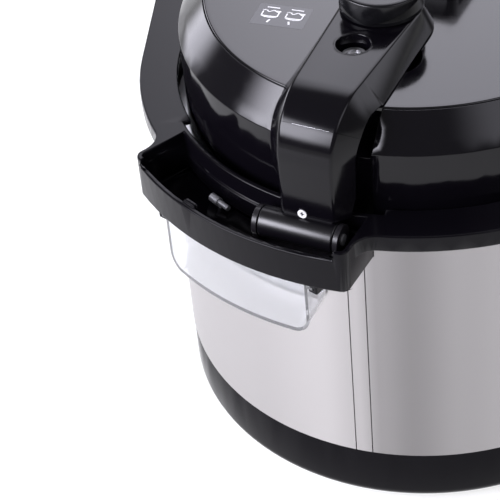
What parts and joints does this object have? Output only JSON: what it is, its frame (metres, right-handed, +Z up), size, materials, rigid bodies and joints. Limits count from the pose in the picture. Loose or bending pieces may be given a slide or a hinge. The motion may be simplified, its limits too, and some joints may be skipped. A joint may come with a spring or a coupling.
{
  "type": "electric pressure cooker",
  "caption": "Electric pressure cooker with a steel-wrapped round body, a domed lid on a hinged arm that turns to lock, a steam knob, a control panel and a drip cup.",
  "frame": {"origin": "on the cooker's axis at the plane its feet stand on", "axes": "+Z up along the cooker's axis; -Y towards the control panel at the front; +Y towards the lid's hinge at the back"},
  "size_m": [0.326, 0.3215, 0.298],
  "materials": {
    "base_plastic": "gloss",
    "cover_plastic": "matte",
    "foot_rubber": "matte",
    "screw_steel": "satin",
    "wrap_steel": "brushed",
    "seam_plastic": "matte",
    "ring_plastic": "gloss",
    "pin_steel": "polished",
    "pressed_steel": "satin",
    "pot_aluminium": "satin",
    "spring_steel": "satin",
    "switch_plastic": "matte",
    "board": "satin",
    "fascia_plastic": "gloss",
    "lens": "gloss",
    "button_plastic": "satin",
    "inlet_plastic": "matte",
    "clear_cup": "gloss",
    "slide_plastic": "satin",
    "arm_plastic": "gloss",
    "lid_plastic": "gloss",
    "handle_plastic": "satin",
    "gasket_silicone": "matte",
    "valve_metal": "polished",
    "knob_plastic": "satin"
  },
  "bodies": {
    "housing": {"base_shell": "base_plastic", "bottom_cover": "cover_plastic", "feet": "foot_rubber", "cover_screws": "screw_steel", "steel_wrap": "wrap_steel", "lap_strip": "wrap_steel", "seam_backing": "seam_plastic", "top_ring": "ring_plastic", "stop_pin": "pin_steel", "heating_chamber": "pressed_steel", "inner_pot": "pot_aluminium", "heating_plate": "pot_aluminium", "sensor_spring": "spring_steel", "sensor_bracket": "pressed_steel", "thermal_fuse": "switch_plastic", "pressure_switch": "switch_plastic", "heat_shield": "pressed_steel", "power_board": "board", "control_board": "board", "control_fascia": "fascia_plastic", "display_lens": "lens", "power_inlet": "inlet_plastic"},
    "hinge": {"hinge_slide": "slide_plastic", "hinge_pin": "pin_steel"},
    "lid": {"arm_cover": "arm_plastic", "hinge_arm": "arm_plastic", "arm_screw": "screw_steel", "hinge_bracket": "pressed_steel", "bracket_posts": "valve_metal", "pressure_lid": "pressed_steel", "lid_disc": "lid_plastic", "lid_shell": "lid_plastic", "gasket": "gasket_silicone", "gasket_plate": "pressed_steel", "plate_nut": "valve_metal", "exhaust_pipe": "valve_metal", "vent_shield": "valve_metal", "lid_handle": "handle_plastic", "handle_screws": "screw_steel"},
    "knob": {"steam_knob": "knob_plastic"},
    "float": {"float_valve": "valve_metal"},
    "cup": {"condensation_cup": "clear_cup"},
    "sensor": {"bottom_sensor": "pot_aluminium"},
    "key_1": {"button_1": "button_plastic"},
    "key_2": {"button_2": "button_plastic"},
    "key_3": {"button_3": "button_plastic"},
    "key_4": {"button_4": "button_plastic"}
  },
  "joints": [
    {"name": "lid_turn", "type": "hinge", "parent": "housing", "child": "hinge", "pos_m": [0, 0, 0.2], "axis": [0, 0, 1], "range_deg": [-26, 0]},
    {"name": "lid_swing", "type": "hinge", "parent": "hinge", "child": "lid", "pos_m": [-0.03768, 0.14364, 0.201], "axis": [-0.9673, -0.2538, 0], "range_deg": [0, 72]},
    {"name": "steam_knob_turn", "type": "hinge", "parent": "lid", "child": "knob", "pos_m": [-0.01226, 0.04672, 0.272], "axis": [0, 0, 1], "range_deg": [-30, 30]},
    {"name": "float_valve_rise", "type": "slide", "parent": "lid", "child": "float", "axis": [0, 0, 1], "range_m": [0, 0.0045]},
    {"name": "cup_slide", "type": "slide", "parent": "housing", "child": "cup", "axis": [0, 1, 0], "range_m": [0, 0.03]},
    {"name": "sensor_press", "type": "slide", "parent": "housing", "child": "sensor", "axis": [0, 0, -1], "range_m": [0, 0.0025], "stiffness_N_per_m": 400, "springref_m": -0.002, "deforming": ["sensor_spring"]},
    {"name": "button_1_press", "type": "slide", "parent": "housing", "child": "key_1", "axis": [0.284, 0.9588, 0], "range_m": [0, 0.0015], "stiffness_N_per_m": 500, "springref_m": -0.001},
    {"name": "button_2_press", "type": "slide", "parent": "housing", "child": "key_2", "axis": [0.0958, 0.9954, 0], "range_m": [0, 0.0015], "stiffness_N_per_m": 500, "springref_m": -0.001},
    {"name": "button_3_press", "type": "slide", "parent": "housing", "child": "key_3", "axis": [-0.0958, 0.9954, 0], "range_m": [0, 0.0015], "stiffness_N_per_m": 500, "springref_m": -0.001},
    {"name": "button_4_press", "type": "slide", "parent": "housing", "child": "key_4", "axis": [-0.284, 0.9588, 0], "range_m": [0, 0.0015], "stiffness_N_per_m": 500, "springref_m": -0.001}
  ]
}
